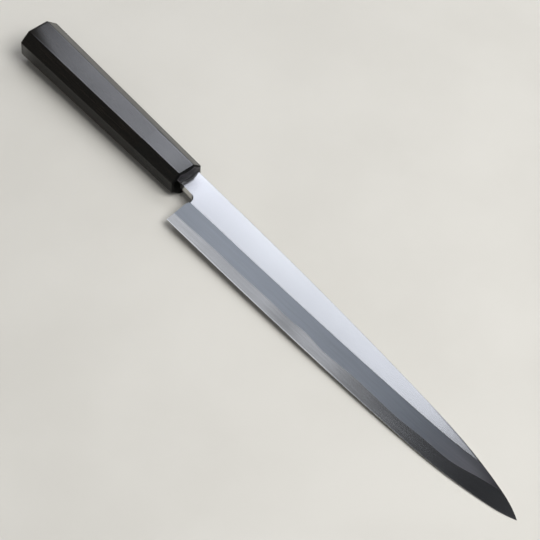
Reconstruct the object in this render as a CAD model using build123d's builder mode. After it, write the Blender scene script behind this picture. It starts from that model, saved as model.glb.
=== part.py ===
from build123d import *
from math import atan2, cos, pi, sin, sqrt, tan
import os

os.makedirs("parts", exist_ok=True)

# Yanagiba: a long single-bevel slicing knife with a laminated blade and an octagonal handle.
# It is modelled as it lies on a table, hollow back down: the lower front corner of the ferrule
# and the point of the blade touch the table, and the butt of the handle stands clear of it.
# Knife axes: x runs from the ferrule's front corner to the point, y towards the spine, and z up
# out of the flat face. Lengths are in millimetres.

# Blade, seen from above
edge_length = 272.4
heel_setback = 14.7
heel_height = 34.75
heel_lean = 0.6
spine_offset = 8.2
tip_offset = 9.35
neck_drop = 5.4
neck_flare = 0.5
notch_radius = 3.0
notch_ease = 1.2

# Blade, through its thickness
neck_thickness = 5.15
tip_thickness = 1.8
edge_land = 0.12
bevel_width = 18.0
bevel_narrowing_share = 0.1
spine_ease = 0.35
edge_steel_thickness = 1.77
weld_start = 4.4
weld_lean = 9.0
hollow_depth = 0.4
hollow_edge_rim = 1.6
hollow_spine_rim = 2.6

# Tang
shoulder_depth = 3.0
tang_reach = 105.0
tang_root_height = 10.4
tang_end_height = 5.2
tang_root_thickness = 4.6
tang_end_thickness = 3.0
tang_clearance = 0.12

# Handle: a ferrule, and a body behind it, under one tapering octagon
handle_length = 144.0
ferrule_length = 34.0
front_height = 22.0
front_thickness = 18.7
butt_height = 27.0
butt_thickness = 21.7
front_corner_leg = 5.5
butt_corner_leg = 6.45
corner_lean_share = 0.937
arris_radius = 0.35
butt_radius = 2.2
butt_turns = (pi / 8, pi / 4, 3 * pi / 8)

# Front of the ferrule: a bevel all round a gently domed face, with the sealed mouth for the neck
face_bevel_depth = 2.4
face_crown = 2.2
face_dome_radius = 40.0
seal_width = 0.5
seal_recess = 0.2

# Dowel that joins ferrule and body, and the bore behind it
dowel_radius = 7.5
dowel_length = 60.0
dowel_end_gap = 0.3
glue_gap = 0.05
ferrule_wall = 3.0
bore_radius = 4.6
bore_end_room = 3.0

# Length that every cutting tool runs past what it cuts
overrun = 3.0

# Stations of the blade from heel to point: share along the edge, share of the spine's drop,
# share of the edge's rise, and depth of the hollow back as a share of its full depth, which is
# negative where the hollow has run out.
profile_shares = [
    (0.0, 0.0, 0.0, -0.2),
    (0.06, 0.001, 0.0054, 0.5),
    (0.13, 0.005, 0.0147, 0.85),
    (0.27, 0.022, 0.043, 1.0),
    (0.535, 0.121, 0.141, 0.96),
    (0.71, 0.236, 0.255, 0.84),
    (0.835, 0.403, 0.413, 0.62),
    (0.916, 0.610, 0.616, 0.33),
    (0.971, 0.812, 0.816, -0.1),
    (1.0, 1.0, 1.0, -0.5),
]

# The forge-welded seam between hard and soft steel wanders a little: share along the edge, and
# share of the edge steel's thickness.
seam_shares = [
    (-0.1, 1.0), (0.0, 1.0), (0.13, 1.07), (0.20, 1.0), (0.30, 0.99), (0.37, 0.92),
    (0.41, 0.97), (0.46, 0.80), (0.56, 0.84), (0.67, 0.69), (0.75, 0.70), (0.82, 0.63),
    (0.88, 0.72), (1.0, 0.75), (1.1, 0.75),
]

# Sizes that follow from those above
tip_reach = heel_setback + edge_length
back_level = -neck_thickness / 2
heel_drop = heel_height - spine_offset
thinning_share = (neck_thickness - tip_thickness) / tip_reach
mouth_floor = -shoulder_depth
dowel_start = mouth_floor - ferrule_wall
dowel_end = dowel_start - dowel_length
seat_end = dowel_end - dowel_end_gap
bore_end = -tang_reach - bore_end_room
lying_angle = atan2(front_thickness / 2 + back_level, tip_reach)

# Knife axes, placed so that the box round the lying knife stands centred on the origin
butt_reach = handle_length * cos(lying_angle) + (butt_thickness / 2 - butt_radius) * sin(lying_angle)
point_reach = tip_reach * cos(lying_angle) + back_level * sin(lying_angle)
knife = Plane(
    origin=(
        (butt_reach - point_reach) / 2,
        (heel_drop - butt_height / 2) / 2,
        front_thickness / 2 * cos(lying_angle),
    ),
    x_dir=(cos(lying_angle), 0, -sin(lying_angle)),
    z_dir=(sin(lying_angle), 0, cos(lying_angle)),
)


def across(x):
    """Plane square to the knife at x: its own x and y are the knife's y and z."""
    return Plane(origin=knife.from_local_coords((x, 0, 0)), x_dir=knife.y_dir, z_dir=knife.x_dir)


def along(y):
    """Upright plane along the knife at y: its own x and y are the knife's x and z."""
    return Plane(origin=knife.from_local_coords((0, y, 0)), x_dir=knife.x_dir, z_dir=-knife.y_dir)


def station(share):
    return heel_setback + edge_length * share


def flat_level(x):
    """Height of the flat face, which sinks towards the point as the blade thins."""
    return back_level + neck_thickness - thinning_share * x


def spine_at(drop):
    return spine_offset - (spine_offset + tip_offset) * drop


def edge_at(rise):
    return (heel_drop - tip_offset) * rise - heel_drop


def bevel_slope(share):
    """Rise of the bevel for each length across it; its width narrows a little to the heel."""
    width = bevel_width * (1 - bevel_narrowing_share * (1 - share) ** 2)
    return (flat_level(station(share)) - back_level - edge_land) / width


def bevel_line(run):
    """Points on the bevel at one run inward from the cutting edge, and past both its ends."""
    points = [
        (station(share), edge_at(rise) + run, back_level + edge_land + bevel_slope(share) * run)
        for share, drop, rise, depth in profile_shares
    ]
    past_heel = Vector(points[0]) - Vector(overrun, 0, 0)
    last_step = Vector(points[-1]) - Vector(points[-2])
    past_point = Vector(points[-1]) + last_step.normalized() * overrun
    return [tuple(past_heel), *points, tuple(past_point)]


def hollow_section(share, drop, rise, depth):
    """Slice of the round cut that hollows the back, open to the table below."""
    low = edge_at(rise) + hollow_edge_rim
    high = spine_at(drop) - hollow_spine_rim
    middle = (low + high) / 2
    reach = (high - low) / sqrt(2)
    with BuildSketch(across(station(share))) as section:
        with BuildLine():
            low_end = (middle - reach, back_level - hollow_depth)
            high_end = (middle + reach, back_level - hollow_depth)
            ThreePointArc(low_end, (middle, back_level + hollow_depth * depth), high_end)
            foot = back_level - overrun
            Polyline(low_end, (middle - reach, foot), (middle + reach, foot), high_end)
        make_face()
    return section.sketch


def octagon(x):
    """Corners of the handle's section at x, in turn round it."""
    share = -x / handle_length
    half_height = (front_height + (butt_height - front_height) * share) / 2
    half_thickness = (front_thickness + (butt_thickness - front_thickness) * share) / 2
    leg = front_corner_leg + (butt_corner_leg - front_corner_leg) * share
    quarter = [
        (half_height, half_thickness - leg * corner_lean_share),
        (half_height - leg, half_thickness),
    ]
    half = [*quarter, *[(-y, z) for y, z in quarter[::-1]]]
    return [*half, *[(-y, -z) for y, z in half]]


def facets(x=0, lean=0):
    """Planes through the handle's eight sides at x, facing out and leaning to the front."""
    here = [knife.from_local_coords((x, y, z)) for y, z in octagon(x)]
    behind = [knife.from_local_coords((x - overrun, y, z)) for y, z in octagon(x - overrun)]
    planes = []
    for turn in range(len(here)):
        start, end = here[turn - 1], here[turn]
        side = (end - start).cross(start - behind[turn - 1]).normalized()
        planes.append(Plane(origin=start, z_dir=side + knife.x_dir * lean))
    return planes


def mouth_section():
    """Opening in the ferrule's front: the neck's own section and the seal round it."""
    with BuildSketch(across(mouth_floor)) as section:
        with Locations(((spine_offset - neck_drop) / 2, 0)):
            Rectangle(spine_offset + neck_drop + 2 * seal_width, neck_thickness + 2 * seal_width)
    return section.sketch


def tang_section(x, clearance=0):
    share = (-x - shoulder_depth) / (tang_reach - shoulder_depth)
    height = tang_root_height + (tang_end_height - tang_root_height) * share
    thickness = tang_root_thickness + (tang_end_thickness - tang_root_thickness) * share
    with BuildSketch(across(x)) as section:
        Rectangle(height + 2 * clearance, thickness + 2 * clearance)
    return section.sketch


# Blade blank: outline, wedge taper, bevel, hollow back and tang, before it is parted at the seam
notch = (heel_setback + heel_lean, -neck_drop - neck_flare)
notch_hollow = (
    notch[0] - notch_radius, notch[1] - notch_radius - notch_ease, flat_level(notch[0]) - notch_ease,
)
outline_points = [
    (station(share), spine_at(drop), edge_at(rise)) for share, drop, rise, depth in profile_shares
]
with BuildPart() as blank:
    with BuildSketch(knife.offset(back_level)):
        with BuildLine():
            spine = Spline(*[(x, spine_y) for x, spine_y, edge_y in outline_points])
            edge = Spline(*[(x, edge_y) for x, spine_y, edge_y in outline_points])
            Polyline(
                edge @ 0, notch, (mouth_floor, -neck_drop), (mouth_floor, spine_offset), spine @ 0,
            )
        make_face()
        fillet(vertices().sort_by_distance((*notch, 0))[0], radius=notch_radius)
    extrude(amount=neck_thickness + overrun)
    with BuildSketch(along(0)):
        rear = mouth_floor - overrun
        front = tip_reach + overrun
        clear = neck_thickness + overrun
        Polygon(
            (rear, flat_level(rear)), (front, flat_level(front)), (front, clear), (rear, clear),
            align=None,
        )
    extrude(amount=heel_height, both=True, mode=Mode.SUBTRACT)
    flat_face = faces().sort_by(Axis((0, 0, 0), knife.z_dir))[-1]
    chamfer(flat_face.edges().sort_by(Axis.Y)[-2:], length=spine_ease)
    with Locations(knife.location * Location(notch_hollow)):
        Cone(
            notch_radius, notch_radius + notch_ease + overrun, notch_ease + overrun,
            align=(Align.CENTER, Align.CENTER, Align.MIN), mode=Mode.SUBTRACT,
        )
    with BuildLine(knife):
        outer = Spline(*bevel_line(-overrun))
        inner = Spline(*bevel_line(heel_height))
    extrude(
        Face.make_surface_from_curves(outer, inner), amount=heel_height, dir=knife.z_dir,
        mode=Mode.SUBTRACT,
    )
    loft([hollow_section(*shares) for shares in profile_shares], mode=Mode.SUBTRACT)
    loft([tang_section(mouth_floor), tang_section(-tang_reach)])


# What lies under the seam and ahead of the slanting weld is hard steel
with BuildPart() as under_seam:
    with BuildSketch(along(0)):
        with BuildLine():
            seam = Spline(*[
                (station(share), back_level + edge_steel_thickness * height)
                for share, height in seam_shares
            ])
            foot = back_level - overrun
            Polyline(seam @ 0, ((seam @ 0).X, foot), ((seam @ 1).X, foot), seam @ 1)
        make_face()
    extrude(amount=heel_height, both=True)
    with BuildSketch(knife.offset(back_level - overrun)):
        weld_middle = notch[0] + weld_start + weld_lean / 2
        ahead = station(seam_shares[-1][0])
        Polygon(
            (weld_middle - weld_lean, -heel_height), (ahead, -heel_height),
            (ahead, heel_height), (weld_middle + weld_lean, heel_height), align=None,
        )
    extrude(amount=neck_thickness + 2 * overrun, mode=Mode.INTERSECT)

with BuildPart() as edge_steel:
    add(blank.part)
    add(under_seam.part, mode=Mode.INTERSECT)
edge_steel.part.label = "edge_steel"
export_step(edge_steel.part, "parts/edge_steel.step")

with BuildPart() as blade_body:
    add(blank.part)
    add(under_seam.part, mode=Mode.SUBTRACT)
blade_body.part.label = "blade_body"
export_step(blade_body.part, "parts/blade_body.step")

# Ferrule: a horn cap with a walled front, the mouth for the neck and a socket for the dowel
dome_centre = knife.from_local_coords((face_crown - face_dome_radius, 0, 0))
mouth_run = shoulder_depth + face_crown + overrun
with BuildPart() as ferrule:
    with BuildSketch(across(-ferrule_length)):
        Rectangle(butt_height, butt_thickness)
    extrude(amount=ferrule_length + face_bevel_depth)
    for facet in facets():
        split(bisect_by=facet, keep=Keep.BOTTOM)
    fillet(edges().filter_by(lambda edge: edge.length > ferrule_length), radius=arris_radius)
    for facet in facets(lean=1):
        split(bisect_by=facet, keep=Keep.BOTTOM)
    with Locations(dome_centre):
        Sphere(face_dome_radius, mode=Mode.INTERSECT)
    extrude(mouth_section(), amount=mouth_run, mode=Mode.SUBTRACT)
    with BuildSketch(across(-ferrule_length)):
        Circle(dowel_radius + glue_gap)
    extrude(amount=ferrule_length + dowel_start, mode=Mode.SUBTRACT)
    slot = [tang_section(x, tang_clearance) for x in (mouth_floor, dowel_start)]
    loft(slot, mode=Mode.SUBTRACT)
ferrule.part.label = "ferrule"
export_step(ferrule.part, "parts/ferrule.step")

# Seal: a thin black ring that closes the mouth round the neck, a little behind the domed face
with BuildPart() as mouth_seal:
    extrude(mouth_section(), amount=mouth_run)
    with Locations(dome_centre):
        Sphere(face_dome_radius - seal_recess, mode=Mode.INTERSECT)
    add(blank.part, mode=Mode.SUBTRACT)
mouth_seal.part.label = "mouth_seal"
export_step(mouth_seal.part, "parts/mouth_seal.step")

# Dowel: a round hardwood peg, slotted for the tang, half in the ferrule and half in the body
with BuildPart() as core_dowel:
    with BuildSketch(across(dowel_end)):
        Circle(dowel_radius)
    extrude(amount=dowel_length)
    slot = [tang_section(x, tang_clearance) for x in (mouth_floor, -tang_reach)]
    loft(slot, mode=Mode.SUBTRACT)
core_dowel.part.label = "core_dowel"
export_step(core_dowel.part, "parts/core_dowel.step")

# Handle body: an ebony octagon, bored for the dowel and, beyond it, for the end of the tang
with BuildPart() as handle_body:
    with BuildSketch(across(-handle_length)):
        Rectangle(butt_height, butt_thickness)
    extrude(amount=handle_length - ferrule_length)
    for facet in facets():
        split(bisect_by=facet, keep=Keep.BOTTOM)
    for turn in butt_turns:
        rim = butt_radius * (1 - tan(turn / 2)) - handle_length
        for facet in facets(rim, -tan(turn)):
            split(bisect_by=facet, keep=Keep.BOTTOM)
    seam_edges = faces().sort_by(Axis.X)[-1].edges()
    fillet(edges().filter_by(lambda edge: edge not in seam_edges), radius=arris_radius)
    with BuildSketch(across(seat_end)):
        Circle(dowel_radius + glue_gap)
    extrude(amount=-ferrule_length - seat_end, mode=Mode.SUBTRACT)
    with BuildSketch(across(bore_end)):
        Circle(bore_radius)
    extrude(amount=seat_end - bore_end, mode=Mode.SUBTRACT)
handle_body.part.label = "handle_body"
export_step(handle_body.part, "parts/handle_body.step")

# Resin: what was poured round the end of the tang and set there
with BuildPart() as tang_resin:
    with BuildSketch(across(bore_end)):
        Circle(bore_radius)
    extrude(amount=seat_end - bore_end)
    add(blank.part, mode=Mode.SUBTRACT)
tang_resin.part.label = "tang_resin"
export_step(tang_resin.part, "parts/tang_resin.step")
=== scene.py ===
from math import pi, radians

import bpy
from mathutils import Matrix, Vector

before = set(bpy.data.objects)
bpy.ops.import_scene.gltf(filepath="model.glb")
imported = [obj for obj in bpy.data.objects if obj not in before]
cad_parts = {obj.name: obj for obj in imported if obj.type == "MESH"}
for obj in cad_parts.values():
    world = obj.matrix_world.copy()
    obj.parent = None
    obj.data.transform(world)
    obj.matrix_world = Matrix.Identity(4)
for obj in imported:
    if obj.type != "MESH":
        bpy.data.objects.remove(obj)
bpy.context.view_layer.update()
scene = bpy.context.scene
scene.view_settings.view_transform = "Standard"

# The knife lies with its point down. Its own axes start at the middle of the ferrule's front and
# run to the point (x), to the spine (y) and out of the flat face (z). Lengths are in millimetres.
MM = 0.001
LYING = radians(1.35177)
KNIFE_START = (-71.3977, 6.525, 9.3474)
knife_to_world = Matrix.Translation(Vector(KNIFE_START) * MM) @ Matrix.Rotation(LYING, 4, "Y")

# Blade: the back and the flat face by the ferrule, and how fast the blade thins to its point
BACK = -2.575
FLAT_START = 2.575
THINNING = 3.35 / 287.1
EDGE_LAND = 0.12
BEVEL_WIDTH = 18.0
HEEL = 14.7
EDGE_LENGTH = 272.4
NOTCH_END = 18.0
EASED_LEAN = 0.707

# The weld seam and the spine, as places along the edge and heights. The curve of the seam starts
# a tenth of the edge's length before the heel and ends as far past the point.
SEAM_HEIGHT = 1.77
SEAM_LEAD = 0.1
SEAM_SPAN = 1.2
SEAM = [(-0.1, 1.0), (0.0, 1.0), (0.13, 1.07), (0.20, 1.0), (0.30, 0.99), (0.37, 0.92),
        (0.41, 0.97), (0.46, 0.80), (0.56, 0.84), (0.67, 0.69), (0.75, 0.70), (0.82, 0.63),
        (0.88, 0.72), (1.0, 0.75), (1.1, 0.75)]
SPINE_START = 8.2
SPINE_DROP = 17.55
SPINE = [(0.0, 0.0), (0.13, 0.005), (0.27, 0.022), (0.535, 0.121), (0.71, 0.236), (0.835, 0.403),
         (0.916, 0.610), (0.971, 0.812), (1.0, 1.0)]

# Handle: an octagon that widens to the butt, with a bevel round its front
HANDLE_LENGTH = 144.0
HANDLE_FLAT = 5.5
HANDLE_WIDENING = 1.55
FERRULE_LENGTH = 34.0
FRONT_HEIGHT = 22.0
FRONT_THICKNESS = 18.7
CORNER_LEAN = 0.937
CORNER_REACH = CORNER_LEAN * (FRONT_HEIGHT / 2 - HANDLE_FLAT) + FRONT_THICKNESS / 2
CORNER_ROUND = 1.3
# Where the lit upper side of the ferrule's front ends; past it the front is painted shade.
LIGHT_SIDE_START = -4.3
LIGHT_SIDE_FADE = 0.7
LIGHT_SIDE_LEAN = 0.53

# Steel colours
SATIN_FLAT = (0.441, 0.443, 0.456)
HOLLOW_BACK = (0.50, 0.505, 0.52)
NARROW_SIDES = (0.66, 0.65, 0.62)
SOFT_STEEL = (0.412, 0.452, 0.523)
SOFT_STEEL_POINT = (0.437, 0.437, 0.484)
HARD_STEEL = (0.514, 0.530, 0.564)
# Lighter and darker patches of the hard steel: their middle along the knife, reach and amount
PATCHES = [(141, 26, 0.13), (112, 20, -0.20), (168, 22, -0.15), (204, 20, 0.14)]

# Horn and ebony colours
HORN = (0.009, 0.009, 0.008)
HORN_FIBRE = (0.016, 0.014, 0.012)
SAWN_HORN = (0.006, 0.006, 0.007)
SAW_MARKS = (0.034, 0.032, 0.038)
# Painted highlight round the rim of the ferrule's front
PAINTED_RIM_LIGHT = (0.055, 0.052, 0.058)
# Painted highlight where the front's lit upper side ends
PAINTED_OUTLINE_LIGHT = (0.085, 0.080, 0.085)
# Painted shade on the bevel round the ferrule's front
PAINTED_BEVEL_SHADE = (0.004, 0.004, 0.004)
# Painted highlight along the horn's long arrises
HORN_ARRIS_HIGHLIGHT = (0.05, 0.05, 0.055)
EBONY = (0.008, 0.0075, 0.0065)
EBONY_GRAIN = (0.018, 0.015, 0.012)
# Painted highlight along the ebony's long arrises
EBONY_ARRIS_HIGHLIGHT = (0.04, 0.04, 0.043)
HANDLE_POLISH = {"IOR": 1.15, "Coat IOR": 1.6, "Coat Roughness": 0.12}
# How much of the polish the painted shade takes away
SHADE_DULLING = 0.95

# Colours inside the handle, and the floor's
PALE_WOOD = (0.60, 0.44, 0.27)
WOOD_RINGS = (0.40, 0.27, 0.15)
BLACK_WAX = (0.012, 0.012, 0.012)
CLEAR_RESIN = (0.34, 0.21, 0.08)
CLOUDY_RESIN = (0.22, 0.13, 0.05)
PALE_STONE = (0.64, 0.622, 0.575)
PALER_STONE = (0.68, 0.662, 0.615)


# Shader building

class Signal:
    """A socket of a node tree; sums and products of signals add the Math nodes for them."""

    def __init__(self, nodes, socket):
        self.nodes = nodes
        self.socket = socket

    def __add__(self, other):
        return self.nodes.maths("ADD", self, other)

    def __sub__(self, other):
        return self.nodes.maths("SUBTRACT", self, other)

    def __rsub__(self, other):
        return self.nodes.maths("SUBTRACT", other, self)

    def __mul__(self, other):
        return self.nodes.maths("MULTIPLY", self, other)

    def __truediv__(self, other):
        return self.nodes.maths("DIVIDE", self, other)

    def __abs__(self):
        return self.nodes.maths("ABSOLUTE", self)

    __radd__ = __add__
    __rmul__ = __mul__

    def at_least(self, other):
        return self.nodes.maths("MAXIMUM", self, other)

    def rise(self, low, high):
        """0 below low and 1 above high, with a smooth step between."""
        return self.nodes.node("ShaderNodeMapRange", {"interpolation_type": "SMOOTHSTEP"},
                               {"Value": self, "From Min": low, "From Max": high})

    def fall(self, low, high):
        return 1 - self.rise(low, high)

    def near(self, centre, width):
        """1 at the centre, fading to 0 a width away on both sides."""
        return abs(self - centre).fall(0, width)


class Nodes:
    """A node tree under construction, with the patterns and the knife's own axes in it."""

    def __init__(self, tree):
        self.tree = tree

    def set(self, node, inputs):
        for key, value in inputs.items():
            if isinstance(value, Signal):
                self.tree.links.new(value.socket, node.inputs[key])
            else:
                node.inputs[key].default_value = value

    def node(self, kind, settings={}, inputs={}, output=0):
        node = self.tree.nodes.new(kind)
        for key, value in settings.items():
            if key == "ramp":
                node.color_ramp.interpolation = value
            elif key == "stops":
                elements = node.color_ramp.elements
                while len(elements) < len(value):
                    elements.new(1)
                for element, (place, height) in zip(elements, value):
                    element.position = place
                    element.color = (height, height, height, 1)
            else:
                setattr(node, key, value)
        self.set(node, inputs)
        return Signal(self, node.outputs[output])

    def maths(self, operation, *values):
        return self.node("ShaderNodeMath", {"operation": operation}, dict(enumerate(values)))

    def curve(self, share, points):
        """A smooth curve through points whose places and heights lie between 0 and 1."""
        return self.node("ShaderNodeValToRGB", {"ramp": "CARDINAL", "stops": points}, {0: share})

    def place(self, output="Object"):
        return self.node("ShaderNodeTexCoord", output=output)

    def split(self, vector):
        first = self.node("ShaderNodeSeparateXYZ", {}, {0: vector})
        return [Signal(self, output) for output in first.socket.node.outputs]

    def join(self, x, y, z):
        return self.node("ShaderNodeCombineXYZ", {}, {0: x, 1: y, 2: z})

    def on_knife(self):
        """The place in the knife's own axes, in millimetres."""
        return self.node("ShaderNodeMapping", {"vector_type": "TEXTURE"}, {
            "Vector": self.place(), "Location": [value * MM for value in KNIFE_START],
            "Rotation": (0, LYING, 0), "Scale": (MM, MM, MM),
        })

    def facing(self):
        """Which way the surface faces: the x, y and z of its normal."""
        return self.split(self.place("Normal"))

    def noise(self, place, scale=1.0, detail=2.0, roughness=0.5, stretch=(1, 1, 1),
              offset=(0, 0, 0)):
        spread = self.node("ShaderNodeMapping", {"vector_type": "POINT"},
                           {"Vector": place, "Scale": stretch, "Location": offset})
        return self.node("ShaderNodeTexNoise", {}, {
            "Vector": spread, "Scale": scale, "Detail": detail, "Roughness": roughness,
        })

    def mix(self, share, first, second):
        first, second = [value if isinstance(value, Signal) else (*value, 1)
                         for value in (first, second)]
        return self.node("ShaderNodeMix", {"data_type": "RGBA"}, {0: share, 6: first, 7: second},
                         output=2)

    def tint(self, colour, amount):
        """A colour made lighter or darker by a signal that is 1 where it stays as it is."""
        return self.node("ShaderNodeVectorMath", {"operation": "SCALE"},
                         {0: colour, "Scale": amount})

    def bump(self, height, distance, strength):
        return self.node("ShaderNodeBump", {}, {
            "Height": height, "Distance": distance * MM, "Strength": strength,
        })


class Finish(Nodes):
    """A material; its constants are the settings that are the same all over the surface."""

    def __init__(self, name, constants={}):
        self.material = bpy.data.materials.new(name)
        self.material.use_nodes = True
        super().__init__(self.material.node_tree)
        self.surface = self.tree.nodes["Principled BSDF"]
        self.set(self.surface, constants)

    def paint(self, node, inputs):
        """Sets what varies over the surface and gives the material to the CAD node."""
        self.set(self.surface, inputs)
        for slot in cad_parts[node].material_slots:
            slot.material = self.material


# Blade steel

def satin_flat(steel, x, y, from_spine, haze, grain, misting):
    """Colour of the flat face, shaded along the spine by the point and below the neck."""
    spine_shade = from_spine.fall(0.2, 1.3) * x.rise(195, 245)
    neck_shade = x.fall(0, 15) * y.fall(-3, 8)
    satin = steel.tint(SATIN_FLAT, 0.90 + 0.05 * grain + 0.08 * haze + 0.06 * misting)
    return steel.tint(satin, 1 - 0.75 * spine_shade - 0.50 * neck_shade)


def ground_bevel(steel, x, z, share, from_spine):
    """Colour, roughness and scratches of the bevel: the weld seam parts misty soft steel above it
    from streaked hard steel under it, with a line of light along the edge."""
    slope = (FLAT_START - BACK - EDGE_LAND - THINNING * x) / BEVEL_WIDTH
    run = (z - BACK - EDGE_LAND) / slope
    seam = steel.curve((share + SEAM_LEAD) / SEAM_SPAN, [
        ((place + SEAM_LEAD) / SEAM_SPAN, height / SEAM_SPAN) for place, height in SEAM])
    above_seam = (z - BACK - seam * (SEAM_SPAN * SEAM_HEIGHT)) / slope
    on_bevel = steel.join(x, run, 0)
    cloud = steel.noise(on_bevel, stretch=(0.028, 0.07, 1), detail=2.0, offset=(0.6, 0.2, 0))
    streaks = steel.noise(on_bevel, stretch=(0.010, 0.5, 1), scale=1.1, detail=4.0, roughness=0.75)
    scratches = steel.noise(on_bevel, stretch=(0.05, 1.8, 1), scale=1.2, detail=2.0, roughness=0.6)

    soft = steel.mix(share.rise(0.70, 0.92), SOFT_STEEL, SOFT_STEEL_POINT)
    soft = steel.tint(soft, 0.72 + 0.34 * streaks + 0.22 * scratches)
    # Painted shade: the soft steel darkens towards the point, more so near the spine.
    point_shade = share.rise(0.55, 0.85) * (0.48 + 0.18 * from_spine.fall(0.0, 9.0))
    soft = steel.tint(soft, 1 - point_shade - 0.30 * share.rise(0.85, 0.98))

    hard = steel.tint(HARD_STEEL, 0.42 + 0.52 * streaks + 0.28 * scratches + 0.36 * cloud)
    misty = sum(amount * x.near(middle, reach) for middle, reach, amount in PATCHES)
    # Painted shade: the hard steel darkens towards the point, on top of its lighter and darker
    # patches.
    hard = steel.tint(hard, (1 - 0.62 * share.rise(0.68, 0.93)) * (1 + misty))

    blur = 0.30 + 0.75 * share.fall(0.05, 0.75)
    hard_share = (above_seam / blur).fall(-0.7, 0.6)
    line = 0.16 * above_seam.near(0.25, 0.35) * share.rise(0.35, 0.6)
    glint = 0.8 * run.near(0.0, 0.8)
    colour = steel.tint(steel.mix(hard_share, soft, hard), 1 + line + glint)
    return colour, 0.30 - 0.12 * hard_share + 0.05 * streaks, scratches


def ground_steel(name, node):
    """Laminated blade steel, painted by place: flat face, bevel, hollow back and narrow sides."""
    steel = Finish(name, {"Metallic": 1.0, "IOR": 1.5})
    along = steel.on_knife()
    x, y, z = steel.split(along)
    side_x, side_y, side_z = steel.facing()
    share = (x - HEEL) / EDGE_LENGTH  # 0 at the heel and 1 at the point
    from_spine = SPINE_START - SPINE_DROP * steel.curve(share, SPINE) - y
    sink = FLAT_START - THINNING * x - z
    bevel = sink.rise(0.012, 0.05) * side_y.fall(0.05, 0.3) * side_z.rise(0.6, 0.8)
    back = side_z.fall(-0.8, -0.6)
    narrow = side_z.near(0.0, 0.5)
    # Painted shade: the eased face in the notch's far corner is made near black.
    eased_notch = side_z.near(EASED_LEAN, 0.25) * side_x.fall(-0.1, 0.02)
    eased_notch = eased_notch * x.fall(NOTCH_END, NOTCH_END + 1)

    grain = steel.noise(along, stretch=(0.05, 2.2, 2.2), scale=1.4, detail=3.0, roughness=0.6)
    haze = steel.noise(along, stretch=(0.03, 0.16, 0.16), detail=3.0)
    misting = steel.noise(along, stretch=(0.5, 0.7, 0.7), detail=3.0, roughness=0.7)

    flat_colour = satin_flat(steel, x, y, from_spine, haze, grain, misting)
    back_colour = steel.tint(HOLLOW_BACK, 0.86 + 0.2 * grain + 0.06 * haze)
    side_colour = steel.tint(NARROW_SIDES, 0.85 + 0.2 * grain)
    # Painted shade: narrow sides that face back towards the handle are made near black.
    side_colour = steel.tint(side_colour, 1 - 0.95 * side_x.fall(-0.2, 0.0))
    bevel_colour, bevel_rough, scratches = ground_bevel(steel, x, z, share, from_spine)
    colour = steel.mix(bevel, steel.mix(back, flat_colour, back_colour), bevel_colour)
    colour = steel.mix(narrow, colour, side_colour)

    flat_rough = 0.17 + 0.04 * haze
    relief = 0.1 * haze * (1 - bevel) + scratches * bevel
    steel.paint(node, {
        # painted shade in the notch's eased face
        "Base Color": steel.tint(colour, 1 - 0.93 * eased_notch),
        "Roughness": flat_rough * (1 - bevel) + bevel_rough * bevel,
        "Normal": steel.bump(relief, distance=0.004, strength=0.05),
    })


# Handle

def top_facet(side_z):
    """1 on the handle's upper facet and 0 on the others."""
    return side_z.rise(0.88, 0.95)


def past_arris(x, height):
    """How far a height across the handle lies past the arris beside the top facet."""
    return height - (HANDLE_FLAT - HANDLE_WIDENING / HANDLE_LENGTH * x)


def polish_and_painted_shade(x, y, side_y, side_z):
    """Share of the full polish: duller towards the spine, and dulled as painted shade on the lower
    side, at the top facet's corner by the butt and round the rim of the butt."""
    from_butt = x + HANDLE_LENGTH
    top = top_facet(side_z)
    # Painted shade: the lower side loses its polish so that it stays dark.
    low_side = side_z.fall(0.2, 0.5) * side_y.fall(-0.6, -0.4) * from_butt.rise(-6, 18)
    spine_side = side_y.rise(0.4, 0.6) * (1 - top)
    beyond = past_arris(x, y)
    dulled = spine_side * (0.28 + 0.5 * beyond.fall(0.2, 1.2) + 0.5 * beyond.rise(4.4, 5.6))
    # Painted shade: the top facet's corner by the butt and the rim of the butt lose their polish.
    dark_corner_shade = (y + 0.28 * from_butt).fall(-5.0, 4.0) * top
    butt_rim = from_butt.fall(1.6, 2.8)
    polish = (1 - SHADE_DULLING * low_side) * (1 - dulled)
    return polish * (1 - SHADE_DULLING * dark_corner_shade) * (1 - SHADE_DULLING * butt_rim)


def arris_highlight(x, y, side_z):
    """The two long arrises beside the top facet, made a little lighter as a painted highlight."""
    from_butt = x + HANDLE_LENGTH
    return past_arris(x, abs(y)).near(-0.45, 0.7) * top_facet(side_z) * from_butt.rise(2, 10)


def rounded_corners(x, y, side_z):
    """The top facet's two front corners outside a round, painted dark as shade so that they look
    rounded.
    """
    past_front = (x + CORNER_ROUND).at_least(0)
    past_side = (abs(y) - (HANDLE_FLAT - CORNER_ROUND)).at_least(0)
    square = CORNER_ROUND ** 2
    outside = past_front * past_front + past_side * past_side
    return outside.rise(0.8 * square, 1.25 * square) * top_facet(side_z)


def to_front_bevel(x, y, z):
    """Distance past the line where the ferrule's front meets the bevel round it."""
    height, depth = abs(y), abs(z)
    straight = (height - FRONT_HEIGHT / 2).at_least(depth - FRONT_THICKNESS / 2)
    corner = (CORNER_LEAN * height + depth - CORNER_REACH) / (1 + CORNER_LEAN ** 2) ** 0.5
    return x + straight.at_least(corner)


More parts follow.
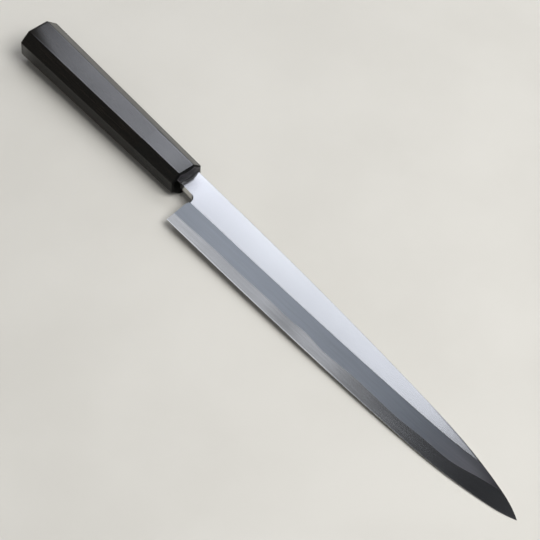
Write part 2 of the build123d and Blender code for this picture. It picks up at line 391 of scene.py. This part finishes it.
def polished_horn():
    """Black buffalo horn: deep gloss, a faint brown fibre, and a dull sawn front whose upper side
    is lighter. Past that side the front is painted shade, with a painted highlight where that side
    ends and round its rim; the bevel round the front is painted shade too."""
    horn = Finish("polished_horn", HANDLE_POLISH)
    along = horn.on_knife()
    x, y, z = horn.split(along)
    side_x, side_y, side_z = horn.facing()
    front = side_x.rise(0.80, 0.88)
    front_bevel = side_x.rise(0.45, 0.6) * (1 - front)
    across_front = y + LIGHT_SIDE_LEAN * z
    light_side = across_front.rise(LIGHT_SIDE_START - LIGHT_SIDE_FADE, LIGHT_SIDE_START) * front
    # Painted highlights where the lit upper side ends and round its rim, by the bevel.
    outline = across_front.near(LIGHT_SIDE_START, LIGHT_SIDE_FADE) * front
    rim = to_front_bevel(x, y, z).near(-0.15, 0.5) * light_side
    rounded = rounded_corners(x, y, side_z)
    seam = x.near(-FERRULE_LENGTH, 0.22)
    fibre = horn.noise(along, stretch=(0.08, 1.2, 1.2), scale=1.0, detail=4.0, roughness=0.6)
    saw = horn.noise(along, stretch=(1, 0.22, 2.6), scale=1.1, detail=3.0, roughness=0.6)
    cloud = horn.noise(along, stretch=(0.06, 0.14, 0.14), detail=2.0)

    face = horn.mix(saw.rise(0.38, 0.66), SAWN_HORN, SAW_MARKS)
    # Painted highlights round the rim and where the lit upper side ends.
    face = horn.mix(0.6 * rim, face, PAINTED_RIM_LIGHT)
    face = horn.mix(outline, face, PAINTED_OUTLINE_LIGHT)
    # Painted shade: the front is black outside its lit upper side.
    face = horn.tint(face, light_side)
    sides = horn.mix(fibre.rise(0.45, 0.75), HORN, HORN_FIBRE)
    # Painted shade on the bevel round the front.
    sides = horn.mix(front_bevel, sides, PAINTED_BEVEL_SHADE)
    # Painted highlight along the long arrises
    sides = horn.mix(arris_highlight(x, y, side_z), sides, HORN_ARRIS_HIGHLIGHT)
    # Painted shade darkens the top facet's front corners outside their round.
    sides = horn.tint(sides, 1 - 0.9 * rounded)

    polish = (0.86 + 0.14 * cloud) * (1 - front * (0.95 - 0.35 * light_side))
    # The polish is dulled in places as painted shade.
    polish = polish * (1 - 0.85 * front_bevel) * polish_and_painted_shade(x, y, side_y, side_z)
    relief = 0.4 * fibre + saw * front - 2.0 * seam
    horn.paint("ferrule", {
        "Base Color": horn.tint(horn.mix(front, sides, face), 1 - 0.6 * seam),
        # painted shade: the corners outside their round lose polish
        "Coat Weight": polish * (1 - 0.9 * rounded) * (1 - 0.3 * seam),
        "Roughness": 0.25 + 0.05 * fibre + 0.1 * front,
        "Normal": horn.bump(relief, distance=0.02, strength=0.35),
    })


def oiled_ebony():
    """Ebony, sanded fine and oiled: open pores in short dashes along the grain."""
    ebony = Finish("oiled_ebony", HANDLE_POLISH)
    along = ebony.on_knife()
    x, y, _ = ebony.split(along)
    _, side_y, side_z = ebony.facing()
    grain = ebony.noise(along, stretch=(0.045, 1.1, 1.1), scale=1.2, detail=5.0, roughness=0.65)
    pores = ebony.noise(along, stretch=(0.22, 3.6, 3.6), scale=1.4, detail=2.0).rise(0.60, 0.70)
    cloud = ebony.noise(along, stretch=(0.04, 0.10, 0.10), detail=3.0)
    colour = ebony.mix(grain.rise(0.35, 0.75), EBONY, EBONY_GRAIN)
    # Painted highlight along the long arrises
    colour = ebony.mix(arris_highlight(x, y, side_z), colour, EBONY_ARRIS_HIGHLIGHT)
    polish = 0.86 + 0.22 * cloud - 0.10 * grain - 0.25 * pores
    ebony.paint("handle_body", {
        "Base Color": ebony.tint(colour, 1 - 0.5 * pores),
        # polish dulled in places as painted shade
        "Coat Weight": polish * polish_and_painted_shade(x, y, side_y, side_z),
        "Roughness": 0.25 + 0.1 * grain + 0.15 * pores,
        "Normal": ebony.bump(0.5 * grain - 0.6 * pores, distance=0.02, strength=0.35),
    })


def dowel_wood():
    """Bare pale hardwood of the dowel that joins ferrule and body."""
    wood = Finish("dowel_wood")
    along = wood.on_knife()
    rings = wood.noise(along, stretch=(0.02, 0.5, 0.5), scale=1.6, detail=5.0, roughness=0.6)
    pores = wood.noise(along, stretch=(0.25, 4.0, 4.0), scale=1.5, detail=2.0).rise(0.58, 0.7)
    colour = wood.mix(rings.rise(0.3, 0.7), PALE_WOOD, WOOD_RINGS)
    wood.paint("core_dowel", {
        "Base Color": wood.tint(colour, 1 - 0.3 * pores),
        "Roughness": 0.6 + 0.12 * rings,
        "Normal": wood.bump(rings - pores, distance=0.05, strength=0.4),
    })


def sealing_wax():
    """Black wax, pressed into the mouth round the neck."""
    wax = Finish("sealing_wax", {"IOR": 1.5})
    lumps = wax.noise(wax.on_knife(), scale=0.9, detail=3.0)
    wax.paint("mouth_seal", {
        "Base Color": wax.tint(BLACK_WAX, 0.7 + 0.6 * lumps),
        "Roughness": 0.45 + 0.2 * lumps,
        "Normal": wax.bump(lumps, distance=0.15, strength=0.6),
    })


def set_resin():
    """Brown resin round the end of the tang, with fine bubbles."""
    resin = Finish("set_resin", {"IOR": 1.54})
    along = resin.on_knife()
    cloud = resin.noise(along, scale=0.25, detail=3.0)
    bubbles = resin.noise(along, scale=2.6, detail=1.0).rise(0.66, 0.72)
    colour = resin.mix(cloud.rise(0.3, 0.7), CLEAR_RESIN, CLOUDY_RESIN)
    resin.paint("tang_resin", {
        "Base Color": resin.tint(colour, 1 + 0.5 * bubbles),
        "Roughness": 0.3 + 0.2 * cloud,
        "Normal": resin.bump(bubbles, distance=0.1, strength=0.5),
    })


ground_steel("satin_soft_steel", "blade_body")
ground_steel("polished_hard_steel", "edge_steel")
polished_horn()
oiled_ebony()
dowel_wood()
sealing_wax()
set_resin()


# Floor

def lay_floor():
    """A plain pale floor, twelve metres square."""
    bpy.ops.object.select_all(action="DESELECT")
    bpy.ops.mesh.primitive_plane_add(size=12, location=(0, 0, 0))
    floor = bpy.context.object
    floor.name = "floor"
    stone = Finish("pale_floor", {"Roughness": 0.65, "IOR": 1.4})
    cloud = stone.noise(stone.place(), scale=9.0, detail=4.0)
    colour = stone.mix(cloud.rise(0.3, 0.7), PALE_STONE, PALER_STONE)
    stone.set(stone.surface, {"Base Color": colour})
    floor.data.materials.append(stone.material)


lay_floor()


# Light: soft panels over the knife, placed in the knife's own axes. A panel without an aim faces
# straight down, and a level of 1 looks white where it is mirrored.

WHITE = (1, 1, 1)
WINDOW = (0.905, 0.94, 1.0)
PANE = (0.88, 0.91, 1.0)
PANEL_HEIGHT = 800


def panel(name, centre, size, level, tint=WHITE, aimed=False):
    lamp = bpy.data.lights.new(name, "AREA")
    lamp.shape = "RECTANGLE"
    lamp.size, lamp.size_y = [side * MM for side in size]
    lamp.energy = level * pi * lamp.size * lamp.size_y
    lamp.color = tint
    holder = bpy.data.objects.new(name, lamp)
    scene.collection.objects.link(holder)
    place = knife_to_world @ (Vector(centre) * MM)
    turn = Matrix.Identity(4)
    if aimed:
        away = place - knife_to_world.translation
        turn = away.to_track_quat("Z", "Y").to_matrix().to_4x4()
    holder.matrix_world = Matrix.Translation(place) @ turn


# A tall window beyond the handle: its panes end at one post and overlap, so that it dims in
# steps towards its far end. Each pane has a far end, a near side, a far side and a level.
WINDOW_POST = -472
WINDOW_PANES = [
    (-750, 400, 700, 1.6), (-708, 340, 700, 1.1), (-675, 340, 700, 0.6),
    (-600, 350, 700, 0.25), (-516, 330, 700, 1.6),
]
for number, (far_end, low, high, level) in enumerate(WINDOW_PANES):
    middle = ((far_end + WINDOW_POST) / 2, (low + high) / 2, PANEL_HEIGHT)
    panel(f"window_end_{number}", middle, (WINDOW_POST - far_end, high - low), level, PANE)
panel("window_middle", (-251, 455, PANEL_HEIGHT), (382, 110), 1.88, WINDOW)
panel("window_near", (-376, 455, PANEL_HEIGHT), (120, 110), 0.42, WINDOW)
panel("window_veil", (-240, 480, PANEL_HEIGHT), (360, 270), 0.72, WINDOW)
panel("ceiling_near", (-500, 0, PANEL_HEIGHT), (200, 420), 1.1)
panel("ceiling_far", (-263, -20, PANEL_HEIGHT), (274, 320), 0.69)
panel("key", (900, 260, 1450), (900, 900), 9.3, aimed=True)
panel("side_window", (200, 1200, 1200), (800, 700), 2.5, aimed=True)


def dim_room():
    """A dim room, lighter low down behind and beside the knife and high up beyond its point."""
    world = bpy.data.worlds.new("room")
    world.use_nodes = True
    scene.world = world
    room = Nodes(world.node_tree)
    ahead, _, height = room.split(room.place("Generated"))
    low_behind = height.fall(0.20, 0.36) * ahead.fall(0.2, 0.6)
    beyond_point = height.rise(0.1, 0.4) * ahead.rise(-0.25, 0.25)
    level = 0.04 + 0.46 * low_behind + 0.36 * beyond_point
    room.set(room.tree.nodes["Background"], {"Color": (*WHITE, 1), "Strength": level})


dim_room()


# Camera: where it stands, looks and has its upper side, in the knife's own axes
SENSOR_WIDTH = 36
IMAGE_WIDTH = 540
FOCAL_LENGTH = 2155.75
CAMERA_PLACE = (610.55, -524.59, 976.98)
CAMERA_AHEAD = (-0.43145, 0.42366, -0.79647)
CAMERA_UPWARD = (-0.62487, 0.49645, 0.60256)
NEAREST = 10


def aim_camera():
    """The photograph's own viewing angle; the focal length is in pixels of the image."""
    data = bpy.data.cameras.new("camera")
    data.sensor_width = SENSOR_WIDTH
    data.lens = FOCAL_LENGTH / IMAGE_WIDTH * SENSOR_WIDTH
    data.clip_start = NEAREST * MM
    camera = bpy.data.objects.new("camera", data)
    scene.collection.objects.link(camera)
    scene.camera = camera
    ahead = Vector(CAMERA_AHEAD)
    right = ahead.cross(Vector(CAMERA_UPWARD)).normalized()
    upward = right.cross(ahead).normalized()
    turn = Matrix((right, upward, -ahead)).transposed().to_4x4()
    spot = Matrix.Translation(Vector(CAMERA_PLACE) * MM)
    camera.matrix_world = knife_to_world @ spot @ turn


aim_camera()
